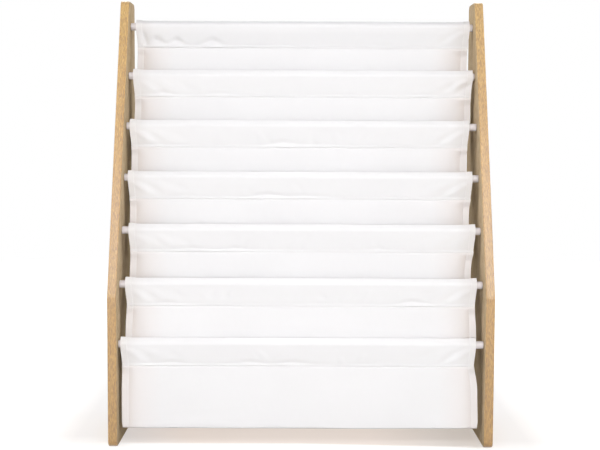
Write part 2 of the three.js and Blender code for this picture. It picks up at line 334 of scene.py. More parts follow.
def wear(n, shader, colour, depth, patch_size, roughness):
    """Gives a shader its colour and roughness, with the traces of handling in them."""
    worn = place_group(n, shared_group("Handling", handling_group), {
        "Colour": colour, "Depth": depth, "Patch size": patch_size, "Roughness": roughness})
    n.put(shader.inputs["Base Color"], worn["Colour"])
    n.put(shader.inputs["Roughness"], worn["Roughness"])


def bump(n, height, distance, strength=1.0, normal=None):
    node = n.add("ShaderNodeBump", {"Height": height, "Distance": distance, "Strength": strength})
    if normal is not None:
        n.put(node.inputs["Normal"], normal)
    return node.outputs[0]


def with_painted_light(n, board, colour):
    """The colour with painted light on it: paler towards the top and darker at the floor, and near the top
    tinted unlike on the two boards.
    """
    split = n.split(n.object_place())
    rise = n.span(split[2], 0.1, 0.6, 1 - board.painted_light, 1 + board.painted_light)
    tint = n.mix(n.span(split[0], -0.1, 0.1), (*board.left_light_tint,), (*board.right_light_tint,))
    near_top = n.mix(n.span(split[2], 0.45, 0.7), (1, 1, 1), tint)
    return n.mix(1.0, n.mix(1.0, colour, n.grey(rise), "MULTIPLY"), near_top, "MULTIPLY")


# The slow change of tone across a board, as noise scales along X, Y and Z, and its share of the grain.
BROAD_GRAIN = (22, 22, 1.6)
BROAD_SHARE = 0.35


def oak_material(board, name, pale, dark, along_y, flecks, roughness, gloss, painted_light):
    """Oak-look laminate with its grain along Z. A share below 1 for along_y stretches the grain along Y as
    well, for the bands that run down slanted edges."""
    material, shader = new_material(name)
    n = Nodes(material.node_tree)
    place = n.stretched(n.object_place(), (1, along_y, 1))
    fibre = 1 / board.fibre
    fleck_length = fibre / 3 * flecks
    broad = n.noise(n.stretched(place, BROAD_GRAIN), 1.0, 3.0, 0.6)
    fibres = n.noise(n.stretched(place, (fibre * 2, fibre * 2, fleck_length)), 1.0, 3.0, 0.6)
    pores = n.noise(n.stretched(place, (fibre * 2.2, fibre * 2.2, fleck_length)), 1.0, 0.0, 0.5)
    tone = n.math("ADD", n.math("MULTIPLY", broad, BROAD_SHARE), n.math("MULTIPLY", fibres, 1 - BROAD_SHARE))
    grain = n.mix(n.span(tone, 0.4, 0.6), (*dark,), (*pale,))
    fleck = n.span(pores, 0.52, 0.66, 0.0, 0.75 * flecks)
    colour = n.mix(fleck, grain, (*board.pore,))
    # Painted light on the edge band: lighter high up, darker low down, unlike left and right
    if painted_light:
        colour = with_painted_light(n, board, colour)
    wear(n, shader, colour, 0.08, 0.11, roughness)
    relief = n.math("SUBTRACT", fibres, n.math("MULTIPLY", fleck, 0.8))
    n.put(shader.inputs["Normal"], bump(n, relief, 0.12 * MM, 0.5))
    set_numbers(shader, {"Specular IOR Level": gloss, "Coat Weight": gloss, "Coat Roughness": 0.25})
    return material


def coat_material(metal):
    material, shader = new_material("powder_coat")
    n = Nodes(material.node_tree)
    wear(n, shader, (*metal.coat, 1), 0.04, 0.03, 0.25)
    n.put(shader.inputs["Normal"], bump(n, n.noise(n.object_place(), 900.0), 0.05 * MM, 0.25))
    set_numbers(shader, {"Coat Weight": 1.0, "Coat Roughness": 0.08})
    return material


def zinc_material(metal):
    material, shader = new_material("bright_zinc")
    n = Nodes(material.node_tree)
    wear(n, shader, (*metal.zinc, 1), 0.2, 0.004, 0.34)
    n.put(shader.inputs["Normal"], bump(n, n.noise(n.object_place(), 1500.0), 0.03 * MM, 0.3))
    set_numbers(shader, {"Metallic": 0.95})
    return material


STITCH_LENGTH = 3.2 * MM
STITCH_WIDTH = 0.7 * MM
STITCH_INSET = 1.4 * MM
STITCH_SHARE = 0.74
THREAD_COLOUR = (0.93, 0.925, 0.92)
SLUB_COLOUR = (0.78, 0.765, 0.76)


def painted_shade_on_top(n):
    """How much painted shade lies on the cloth: some over the top sleeve, and most on its fold."""
    over_tube = n.math("SUBTRACT", n.split(n.object_place())[2], TUBE_AXIS[1][1])
    on_sleeve = n.span(over_tube, -12 * MM, -4 * MM, 0.24, 0.07)
    on_fold = n.span(over_tube, 4.5 * MM, 8 * MM, 0.0, 0.93)
    return n.math("MULTIPLY", n.math("ADD", on_sleeve, on_fold), n.span(over_tube, -38 * MM, -32 * MM))


def cloth_material(name, cloth, hem_shade, fade):
    """Bleached canvas. Its map 'cloth' runs along the threads, and 'sewn' gives the distance from the
    nearest side edge and from the nearest sewn edge. The painted shade beside the hems fades out in so many
    hem widths."""
    material, shader = new_material(name)
    n = Nodes(material.node_tree)
    flat = n.add("ShaderNodeUVMap", uv_map="cloth").outputs[0]
    from_edge, from_seam, _ = n.split(n.add("ShaderNodeUVMap", uv_map="sewn").outputs[0])
    across, along, _ = n.split(flat)
    weave = place_group(
        n, shared_group("Plain weave", weave_group), {"Place": flat, "Thread": cloth.thread})

    def stitches(distance, inset, run):
        off = n.math("ABSOLUTE", n.math("SUBTRACT", distance, inset))
        part = n.math("FRACT", n.math("DIVIDE", run, STITCH_LENGTH))
        return n.math(
            "MULTIPLY", n.math("LESS_THAN", off, STITCH_WIDTH / 2), n.math("LESS_THAN", part, STITCH_SHARE))

    thread = n.math(
        "MAXIMUM", stitches(from_edge, cloth.hem_width - STITCH_INSET, along),
        stitches(from_seam, STITCH_INSET, across))
    slub = n.noise(n.stretched(flat, (900.0, 60.0, 1.0)), 1.0, 2.0)
    base = n.mix(n.span(slub, 0.3, 0.7, 0.0, 0.05), (*cloth.colour,), SLUB_COLOUR)
    # Painted shade and warm bounce light beside the hems, fading away from the seams
    in_hem = n.span(from_edge, 0.95 * cloth.hem_width, 1.05 * cloth.hem_width, 0.8, 1.0)
    near_hem = n.span(from_edge, cloth.hem_width, fade * cloth.hem_width, 1.0, 0.0)
    near_seam = n.span(from_seam, 90 * MM, 200 * MM, 1.0, 0.4)
    painted_hem_shade = n.math("MULTIPLY", n.math("MULTIPLY", in_hem, near_hem), near_seam)
    base = n.mix(painted_hem_shade, base, (*hem_shade,))
    base = n.mix(n.math("MULTIPLY", thread, 0.5), base, THREAD_COLOUR)
    # Painted shade on the top sleeve and most of all on its upper fold
    base = n.mix(painted_shade_on_top(n), base, (*cloth.shade,))
    wear(n, shader, base, 0.03, 0.09, 0.85)
    cloth_bump = bump(n, weave["Height"], 0.10 * MM, 0.35)
    n.put(shader.inputs["Normal"], bump(n, thread, 0.35 * MM, 0.8, cloth_bump))
    set_numbers(shader, {"Specular IOR Level": 0.25, "Sheen Weight": 0.12, "Sheen Roughness": 0.5})
    return material


def made_once(name, make, settings):
    return bpy.data.materials.get(name) or make(settings)


# Making pieces

def new_piece(name, shape, material, smooth=True):
    """Turns a bmesh into a piece of the shelf, with its place in its mesh."""
    mesh = bpy.data.meshes.new(name)
    shape.to_mesh(mesh)
    shape.free()
    mesh.polygons.foreach_set("use_smooth", [smooth] * len(mesh.polygons))
    piece = bpy.data.objects.new(name, mesh)
    bpy.context.scene.collection.objects.link(piece)
    mesh.materials.append(material)
    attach(piece, "root")
    return piece


def dress_node(node, material):
    """Gives a node of the model its material."""
    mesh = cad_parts[node].data
    mesh.materials.clear()
    mesh.materials.append(material)
    return mesh


def turned(profile, centre, sides):
    """A bmesh turned about a line along X through the centre. The profile is a list of (x, radius)."""
    shape = bmesh.new()
    _, y, z = centre
    points = [shape.verts.new((x, y, z + radius)) for x, radius in profile]
    edges = [shape.edges.new(pair) for pair in zip(points, points[1:])]
    bmesh.ops.spin(
        shape, geom=points + edges, cent=centre, axis=(1, 0, 0), angle=2 * math.pi, steps=sides,
        use_merge=True, use_duplicate=False)
    bmesh.ops.remove_doubles(shape, verts=shape.verts, dist=1e-6)
    bmesh.ops.recalc_face_normals(shape, faces=shape.faces)
    return shape


def sharpen(piece, angle=math.radians(35)):
    """Keeps the edges between smooth faces crisp where they meet at more than the angle."""
    crease = piece.modifiers.new("Crisp edges", "EDGE_SPLIT")
    crease.split_angle = angle


# Cloth

def eased(value):
    t = min(max(value, 0.0), 1.0)
    return t * t * (3 - 2 * t)


def hump(distance, width):
    return math.exp(-((distance / width) ** 2))


def blend(a, b, t):
    return a + (b - a) * t


def arc(centre, radius, start, end, steps):
    """Points on an arc in (y, z), with both of its ends. Angles are in degrees."""
    cy, cz = centre
    angles = [math.radians(blend(start, end, i / steps)) for i in range(steps + 1)]
    return [(cy + radius * math.cos(a), cz + radius * math.sin(a)) for a in angles]


def line(start, end, step):
    """Points on a straight stretch in (y, z), without its ends, at most a step apart."""
    count = max(1, math.ceil(math.dist(start, end) / step))
    return [tuple(blend(a, b, i / count) for a, b in zip(start, end)) for i in range(1, count)]


def lengths(path):
    """The distance along the path of each of its points."""
    along = [0.0]
    for a, b in zip(path, path[1:]):
        along.append(along[-1] + math.dist(a, b))
    return along


# Where columns of the cloth's grid lie beside its edges, in hem widths, and how far apart between them.
HEM_COLUMNS = (0.0, 0.05, 0.2, 0.42, 0.65, 0.84, 0.92, 1.0, 1.08, 1.2, 1.38, 1.6, 1.88, 2.2, 2.58, 3.0, 3.45)
COLUMN_STEP = 4.2 * MM


def shares_across(cloth):
    """Places across the cloth from -1 to 1, close together at the hems and wider apart between them."""
    from_edge = [cloth.hem_width * s for s in HEM_COLUMNS]
    rest = CLOTH_HALF_WIDTH - from_edge[-1]
    count = math.ceil(rest / COLUMN_STEP)
    from_edge += [from_edge[-1] + rest * i / count for i in range(1, count)]
    half = [1 - e / CLOTH_HALF_WIDTH for e in from_edge]
    return [-s for s in half] + [0.0] + half[::-1]


class Crease:
    """A soft crease along a line on the cloth, at a place given by x and the depth below the tube."""

    # How many of its lengths and widths a crease is felt in.
    REACH = 2.6

    def __init__(self, x, depth, angle, length, width, height):
        self.x, self.depth = x, depth
        self.cos, self.sin = math.cos(angle), math.sin(angle)
        self.length, self.width, self.height = length, width, height

    def at(self, x, depth):
        dx, dd = x - self.x, depth - self.depth
        along = dx * self.cos + dd * self.sin
        beside = dd * self.cos - dx * self.sin
        if abs(along) > self.REACH * self.length or abs(beside) > self.REACH * self.width:
            return 0.0
        return self.height * hump(along, self.length) * hump(beside, self.width)


# Points up to this share of the hem's width are thickened as the hem is.
HEM_SHARE = 0.97


def cloth_sheet(name, path, place, cloth, material):
    """Lays a grid along the path, given in (y, z), and across the cloth, and puts each of its points where
    place(share, y, z) says."""
    shares = shares_across(cloth)
    columns, rows = len(shares) - 1, len(path) - 1
    along = lengths(path)
    shape = bmesh.new()
    flat_map = shape.loops.layers.uv.new("cloth")
    sewn_map = shape.loops.layers.uv.new("sewn")
    bmesh.ops.create_grid(shape, x_segments=columns, y_segments=rows, size=1.0)
    index_of = {}
    for vert in shape.verts:
        column = round((vert.co.x + 1) / 2 * columns)
        row = round((vert.co.y + 1) / 2 * rows)
        index_of[vert] = (column, row)
        vert.co = place(shares[column], *path[row])
    for face in shape.faces:
        for loop in face.loops:
            column, row = index_of[loop.vert]
            from_edge = (1 - abs(shares[column])) * CLOTH_HALF_WIDTH
            from_sewn = min(along[row], along[-1] - along[row])
            loop[flat_map].uv = (shares[column] * CLOTH_HALF_WIDTH, along[row])
            loop[sewn_map].uv = (from_edge, from_sewn)
    hem_verts = [
        vert.index for vert, (column, _) in index_of.items()
        if (1 - abs(shares[column])) * CLOTH_HALF_WIDTH < HEM_SHARE * cloth.hem_width]
    shape.verts.index_update()
    piece = new_piece(name, shape, material)
    hems = piece.vertex_groups.new(name="hem")
    hems.add(hem_verts, 1.0, "REPLACE")
    wall = piece.modifiers.new("Cloth thickness", "SOLIDIFY")
    wall.thickness = 2 * cloth.thickness
    wall.offset = 0.0
    wall.vertex_group = "hem"
    wall.thickness_vertex_group = 0.5
    return piece, (2 * CLOTH_HALF_WIDTH, along[-1])


# The puckers over the top sleeve's seam, as (x, half width, height).
TOP_PUCKERS = (
    (-257 * MM, 12 * MM, 10.5 * MM), (-222 * MM, 12 * MM, 8.5 * MM), (-159 * MM, 17 * MM, 9 * MM),
    (-60 * MM, 34 * MM, 1 * MM), (160 * MM, 40 * MM, 1 * MM))

# The creases that drag from a sleeve's upper corners: how far from its side edge they lie, how long they
# are, and how high as a share of the cloth's crease.
CORNER_CREASES = ((26, 20, 1.0), (33, 20, -0.8), (58, 17, 0.45), (88, 15, -0.3))


def scallops(tube):
    """Puckers over a sleeve's seam, as (x, half width, height)."""
    if tube == 1:
        return TOP_PUCKERS
    draw = random.Random(40 + tube)
    return [(draw.uniform(-260, 260) * MM, draw.uniform(14, 30) * MM, draw.uniform(0.8, 2.6) * MM)
            for _ in range(5)]


def sleeve_creases(tube, cloth):
    """Creases that drag inwards from a sleeve's upper corners, and finer ones that rise from its seam."""
    draw = random.Random(10 + tube)
    found = []
    if tube == 1:
        found.append(Crease(-277 * MM, 22 * MM, math.radians(78), 13 * MM, 4 * MM, -3.4 * MM))
    if tube == 2:
        found.append(Crease(270 * MM, 11 * MM, math.radians(-31), 16 * MM, 7 * MM, 2.2 * MM))
        found.append(Crease(275 * MM, 20 * MM, math.radians(-31), 17 * MM, 7.5 * MM, -3.8 * MM))
    for side in SIDES.values() if tube > 1 else [SIDES["right"]]:
        for start, length, share in CORNER_CREASES:
            x = side * (CLOTH_HALF_WIDTH - (start + draw.uniform(-4, 4)) * MM)
            angle = math.radians(draw.uniform(30, 40)) * -side
            height = cloth.crease * share * draw.uniform(0.7, 1.1)
            found.append(Crease(x, 17 * MM, angle, length * MM, 6.5 * MM, height))
    for _ in range(9):
        angle = math.radians(draw.uniform(35, 70)) * draw.choice((-1, 1))
        found.append(Crease(
            draw.uniform(-230, 230) * MM, draw.uniform(17, 30) * MM, angle, draw.uniform(7, 14) * MM,
            draw.uniform(2.5, 5) * MM, cloth.crease * draw.uniform(-0.4, 0.4)))
    return found


def sleeve_path(cloth):
    """The sleeve's section about its tube, from its lower front edge over the tube to its lower back."""
    skin = TUBE_RADIUS + cloth.thickness
    crest_radius = 1.8 * MM
    crest = (0.0, skin + cloth.crest - crest_radius)
    shoulder = math.degrees(math.asin((skin - crest_radius) / crest[1]))
    leaves_tube = -8.0
    half_apart, row_step = 1.5 * MM, 1.6 * MM
    low = (half_apart, -cloth.seam_drop)
    round_tube = arc((0.0, 0.0), skin, leaves_tube, shoulder, 8)
    back = [low, *line(low, round_tube[0], row_step), *round_tube]
    back += arc(crest, crest_radius, shoulder, 90, 4)
    return [(-y, z) for y, z in back] + back[-2::-1]


# How much further back the right and the left hems lie with each tube above the lowest.
DEEPER_RIGHT, DEEPER_LEFT = 0.12, 0.05

# Depths below a seam in which the cloth comes away from it, and in which it comes to hang free.
COMES_AWAY, HANGS_FREE = 14 * MM, 60 * MM

# From what depth the hems' setback fades, in how much more depth, and by what share.
FADES_BELOW, FADES_OVER, FADES_BY = 100 * MM, 160 * MM, 0.45

# How wide the hems' slope is at a seam, as a share of its width where the cloth hangs free.
SLOPE_AT_SEAM = 0.5

# The height of the cloth's slow drift, and how fast it changes across and down the cloth.
DRIFT, DRIFT_ACROSS, DRIFT_DOWN = 1.4 * MM, 9, 7


def hanging_place(tube, cloth):
    """How far back (+Y) the cloth that hangs from this tube lies, by its share across and its depth."""
    draw = random.Random(70 + tube)
    phase = draw.uniform(0, 10)
    length = draw.uniform(190, 260) * MM
    creases = [
        Crease(
            draw.uniform(-200, 200) * MM, draw.uniform(60, 150) * MM, math.radians(draw.uniform(-8, 8)),
            draw.uniform(25, 50) * MM, draw.uniform(4, 7) * MM, draw.uniform(-0.5, 0.5) * MM)
        for _ in range(5)]

    def offset(share, depth):
        from_edge = (1 - abs(share)) * CLOTH_HALF_WIDTH
        x = share * CLOTH_HALF_WIDTH
        inside = max(from_edge - cloth.hem_width, 0.0)
        deeper = 1 + (len(TUBES) - tube) * (DEEPER_RIGHT if share > 0 else DEEPER_LEFT)
        below = eased((depth - cloth.seam_drop) / HANGS_FREE)
        near = eased((depth - cloth.seam_drop) / COMES_AWAY)
        flatter = 1 - FADES_BY * eased((depth - FADES_BELOW) / FADES_OVER)
        slope = deeper * cloth.hem_slope * blend(SLOPE_AT_SEAM, 1.0, below)
        setback = deeper * flatter * cloth.hem_setback * math.exp(-inside / slope)
        wave = cloth.wave * math.sin(2 * math.pi * (x / length) + phase)
        drift = DRIFT * noise.noise(Vector((x * DRIFT_ACROSS, depth * DRIFT_DOWN, phase)))
        fine = sum(crease.at(x, depth) for crease in creases)
        return near * (setback + fine) + below * (wave + drift)

    return offset


# The share of what is drawn in at a seam that eases out again below it, and in how much depth.
EASES_BY, EASES_OVER = 0.6, 100 * MM


def cloth_x(share, depth, centre, cloth):
    """The cloth is drawn in at the seam, and eases out again below it."""
    drawn = eased(depth / cloth.seam_drop) * (1 - EASES_BY * eased((depth - cloth.seam_drop) / EASES_OVER))
    return centre + share * (CLOTH_HALF_WIDTH - cloth.draw_in * drawn)


# How far the cloth reaches past the model's at each tube, to the left and to the right: the sleeves as
# sewn, and the layers that hang from them.
SEWN_WIDER = {
    1: (0.7 * MM, 1.8 * MM), 2: (4.8 * MM, 1.5 * MM), 3: (-0.2 * MM, -0.8 * MM), 4: (0.5 * MM, 0),
    5: (-0.7 * MM, -2.1 * MM), 6: (-0.9 * MM, -1.2 * MM), 7: (0.3 * MM, 0.3 * MM)}
HANGS_WIDER = {
    1: (1.8 * MM, 1.2 * MM), 2: (4.8 * MM, 2.4 * MM), 3: (0.8 * MM, -2.2 * MM), 4: (0.8 * MM, -2.2 * MM),
    5: (0.3 * MM, -5.4 * MM), 6: (1.6 * MM, 1.6 * MM), 7: (2 * MM, 6 * MM)}


def reach(share, left_and_right):
    """How far a place across the cloth moves when its edges reach past the model's."""
    left, right = left_and_right
    return share * (right if share > 0 else left)


# How far down the cloth of a slid sleeve comes back towards the middle, and by what share, and how far
# below a seam the cloth reaches its hanging width.
CENTRES_OVER, CENTRES_BY = 140 * MM, 0.3
WIDENS_OVER = 40 * MM


def hangs_beside(tube, share, depth, cloth):
    """How far a place on the cloth that hangs from this tube lies to the side. Past the next tube it
    follows the cloth in front of it."""
    slid = CLOTH_CENTRE[tube] * (1 - CENTRES_BY * eased(depth / CENTRES_OVER))
    below = math.sin(math.pi / 2 * min(max((depth - cloth.seam_drop) / WIDENS_OVER, 0.0), 1.0))
    moved = slid + blend(reach(share, SEWN_WIDER[tube]), reach(share, HANGS_WIDER[tube]), below)
    if tube == len(TUBES):
        return moved
    past_next = depth - TUBE_AXIS[tube][1] + TUBE_AXIS[tube + 1][1]
    if past_next < -TUBE_RADIUS:
        return moved
    following = hangs_beside(tube + 1, share, past_next, cloth)
    return blend(moved, following, eased((past_next + TUBE_RADIUS) / cloth.seam_drop))


# The height of a sleeve's slack waves, the share of its creases that its back has, and where its slack
# begins to end, as a share of the seam's drop.
SLACK_WAVE, BACK_SHARE, SLACK_ENDS = 0.5 * MM, 0.5, 0.86

# The valley over a seam: its height and depth, and what shares of a pucker's height add to these and to
# the ridge below.
VALLEY, DENT = 3.5 * MM, 0.5 * MM
PUCKER_TO_VALLEY, PUCKER_TO_DENT, PUCKER_TO_RIDGE = 0.2, 0.48, 0.12

# The height in which the ridge curls back at its turned edge, and by what share.
TURNED_EDGE, CURL = 1.5 * MM, 0.6

# How high a sleeve's upper corners lift off the tube, in what width, and from how far below its axis.
CORNER_LIFT, CORNER_WIDTH, CORNER_START = 1.1 * MM, 14 * MM, 1 * MM
CREST_WOBBLE = 0.35 * MM


def make_sleeve(tube, cloth, material):
    tube_y, tube_z = TUBE_AXIS[tube]
    centre = CLOTH_CENTRE[tube]
    creases = sleeve_creases(tube, cloth)
    puckers = scallops(tube)
    phase = 3.7 * tube

    def place(share, y, z):
        depth = -z
        x = share * CLOTH_HALF_WIDTH
        from_edge = (1 - abs(share)) * CLOTH_HALF_WIDTH
        wider = reach(share, SEWN_WIDER[tube])
        front = y < 0
        side = -1 if front else 1
        level = depth / cloth.seam_drop
        slack = eased(level * 3) * (1 - eased((level - SLACK_ENDS) / (1 - SLACK_ENDS)))
        out = SLACK_WAVE * slack * noise.noise(Vector((x * 14, z * 30, phase)))
        out += slack * sum(crease.at(x, depth) for crease in creases) * (1.0 if front else BACK_SHARE)
        if depth > 0:
            pucker = sum(height * hump(x - at, width) for at, width, height in puckers) if front else 0.0
            tall = cloth.ridge_height + pucker
            over_valley = cloth.seam_drop - tall - depth
            risen = min(max(-over_valley / tall, 0.0), 1.0)
            valley = hump(max(over_valley, 0.0), VALLEY + PUCKER_TO_VALLEY * pucker)
            dent = (DENT + PUCKER_TO_DENT * pucker) * valley * (1 - risen)
            curled = CURL * eased((depth - cloth.seam_drop) / TURNED_EDGE + 1)
            out += (cloth.seam_ridge + PUCKER_TO_RIDGE * pucker) * risen * (1 - curled) - dent
        lift = CORNER_LIFT * hump(from_edge, CORNER_WIDTH) * eased((z + CORNER_START) / TUBE_RADIUS)
        wobble = CREST_WOBBLE * noise.noise(Vector((x * 8, phase, 0))) * eased(z / TUBE_RADIUS)
        across = cloth_x(share, depth, centre, cloth) + wider
        return Vector((across, tube_y + y + side * out, tube_z + z + lift + wobble))

    piece, flat = cloth_sheet(f"sleeve_{tube}", sleeve_path(cloth), place, cloth, material)
    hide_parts(f"rod_sleeve_{tube}")


# A pocket's layers at its seams: half the distance between two in one seam, how far they reach up into it,
# and the height in which they step out to the sleeve's ridge, so far and a little further below.
HALF_LAYER_GAP = 0.65 * MM
SEWN_IN = 1.5 * MM
SEAM_STEP = 0.6 * MM
STEP_OUT, EASE_OUT = 1.7 * MM, 0.8 * MM
ROW_STEP = 4 * MM

# How high over the lowest point of the model's pocket the fold lies before it sags, how far it sags between
# its layers, and how deep it dips here and there, up to what height.
FOLD_RAISED, SAG, DIP, LOW_HEIGHT = 2 * MM, 1.8 * MM, 0.5 * MM, 12 * MM

# How far inside its two layers a pocket's fold begins to follow the other one.
LAYER_MARGIN = 1 * MM

# How far a pocket's side edges wave and how far its lowest corners are tucked in, and how closely each
# keeps to the edge.
EDGE_WAVE, EDGE_POWER = 0.5 * MM, 20
CORNER_TUCK, CORNER_POWER = 1.2 * MM, 60


def behind_seam(pocket):
    """1 where a pocket's front layer hangs behind its seam, and -1 for the lowest, which hangs before it."""
    return -1 if pocket == POCKETS[-1] else 1


def pocket_bottom(pocket):
    """Height of a pocket's fold before it sags."""
    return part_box(f"sling_pocket_{pocket}")[0].z + FOLD_RAISED


def pocket_path(pocket, cloth):
    """The pocket's section, down from the tube behind it, round its fold and up to the tube in front."""
    back_y, back_z = TUBE_AXIS[pocket]
    front_y, front_z = TUBE_AXIS[pocket + 1]
    top = -cloth.seam_drop + SEWN_IN
    bottom = pocket_bottom(pocket) + cloth.thickness / 2
    back_y, front_y = back_y - HALF_LAYER_GAP, front_y + behind_seam(pocket) * HALF_LAYER_GAP
    radius = min(cloth.fold_radius, (back_y - front_y) / 3)
    back_top, back_low = (back_y, back_z + top), (back_y, bottom + radius)
    front_top, front_low = (front_y, front_z + top), (front_y, bottom + radius)
    at_seam = [-cloth.seam_drop + SEAM_STEP, -cloth.seam_drop + SEAM_STEP / 2, -cloth.seam_drop]
    back_seam = [(back_y, back_z + z) for z in at_seam]
    front_seam = [(front_y, front_z + z) for z in reversed(at_seam)]
    path = [back_top, *back_seam, *line(back_seam[-1], back_low, ROW_STEP)]
    path += arc((back_y - radius, bottom + radius), radius, 0, -90, 6)
    path += line((back_y - radius, bottom), (front_y + radius, bottom), ROW_STEP)
    path += arc((front_y + radius, bottom + radius), radius, -90, -180, 6)
    path += [*line(front_low, front_seam[0], ROW_STEP), *front_seam, front_top]
    return path


def make_pocket(pocket, cloth, material):
    back_y, back_z = TUBE_AXIS[pocket]
    front_y, front_z = TUBE_AXIS[pocket + 1]
    back_fold, front_fold = hanging_place(pocket, cloth), hanging_place(pocket + 1, cloth)
    bottom = pocket_bottom(pocket)

    def spread(depth):
        """How far a layer stands off its seam: out to the sleeve's ridge at once, and some more below."""
        below = depth - cloth.seam_drop
        return STEP_OUT * eased(below / SEAM_STEP + 1) + EASE_OUT * eased(below / HANGS_FREE)

    def place(share, y, z):
        x = share * CLOTH_HALF_WIDTH
        to_back = min(max((y - front_y - LAYER_MARGIN) / (back_y - front_y - 2 * LAYER_MARGIN), 0), 1)
        back_depth, front_depth = back_z - z, front_z - z
        moved = blend(
            front_fold(share, front_depth) + behind_seam(pocket) * spread(front_depth),
            back_fold(share, back_depth) - spread(back_depth), to_back)
        low = 1 - eased((z - bottom) / LOW_HEIGHT)
        sag = SAG * (1 - eased((z - bottom) / cloth.fold_radius)) * math.sin(math.pi * to_back)
        dip = DIP * low * noise.noise(Vector((x * 10, pocket * 5.3, 0)))
        depth = blend(front_depth, back_depth, to_back)
        in_front = hangs_beside(pocket + 1, share, front_depth, cloth)
        behind = hangs_beside(pocket, share, back_depth, cloth)
        beside = blend(in_front, behind, to_back)
        uneven = noise.noise(Vector((share * 3, z * 22, pocket * 2.1)))
        edge = EDGE_WAVE * uneven * abs(share) ** EDGE_POWER
        corner = CORNER_TUCK * low * share * abs(share) ** CORNER_POWER
        return Vector((cloth_x(share, depth, beside, cloth) + edge - corner, y + moved, z - sag + dip))

    path = pocket_path(pocket, cloth)
    piece, flat = cloth_sheet(f"pocket_{pocket}", path, place, cloth, material)
    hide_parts(f"sling_pocket_{pocket}")


# Operators

class ShelfOperator:
    """What every operator of the shelf has in common."""
    bl_options = {"REGISTER", "UNDO"}


class SHELF_OT_camera(ShelfOperator, bpy.types.Operator):
    """Stand the camera where the shelf is seen from the front"""
    bl_idname = "shelf.camera"
    bl_label = "Camera"

    def execute(self, context):
        studio = context.scene.shelf_studio
        camera = bpy.data.objects.new("camera", bpy.data.cameras.new("camera"))
        context.scene.collection.objects.link(camera)
        camera.data.lens = studio.focal_length
        camera.data.sensor_width = 36
        camera.data.clip_end = 50
        sy, cy = math.sin(studio.yaw), math.cos(studio.yaw)
        sp, cp = math.sin(studio.pitch), math.cos(studio.pitch)
        sr, cr = math.sin(studio.roll), math.cos(studio.roll)
        ahead = Vector((cp * sy, cp * cy, -sp))
        level = Vector((cy, -sy, 0))
        above = Vector((sp * sy, sp * cy, cp))
        turn = Matrix((cr * level - sr * above, sr * level + cr * above, -ahead)).transposed()
        camera.matrix_world = Matrix.Translation(studio.camera_place) @ turn.to_4x4()
        context.scene.camera = camera
        return {"FINISHED"}


